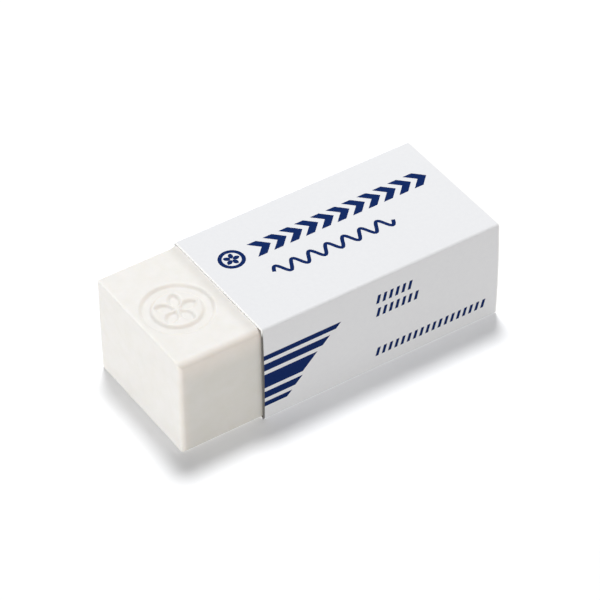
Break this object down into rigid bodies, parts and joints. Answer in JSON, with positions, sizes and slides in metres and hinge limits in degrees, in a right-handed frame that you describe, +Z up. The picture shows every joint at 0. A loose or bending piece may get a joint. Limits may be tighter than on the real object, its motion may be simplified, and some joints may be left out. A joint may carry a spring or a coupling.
{
  "type": "rubber eraser",
  "caption": "Off-white vinyl block eraser with softly rounded edges and a pressed flower mark, held in a folded and glued card sleeve that slides along it.",
  "frame": {"origin": "middle of the outline's box, on the surface that the sleeve lies on", "axes": "+X along the block from its bare end to the covered end, +Y to the back where the glued seam is, +Z up"},
  "size_m": [0.0426, 0.0184, 0.0135],
  "materials": {
    "vinyl": "soft matt off-white vinyl, as moulded",
    "card": "smooth white coated card, printed in deep blue on the top and front"
  },
  "bodies": {
    "block": {"eraser_block": "vinyl"},
    "sleeve": {"card_sleeve": "card"}
  },
  "joints": [
    {"name": "sleeve_slide", "type": "slide", "parent": "block", "child": "sleeve", "axis": [1, 0, 0], "range_m": [-0.0105, 0.0319]}
  ]
}
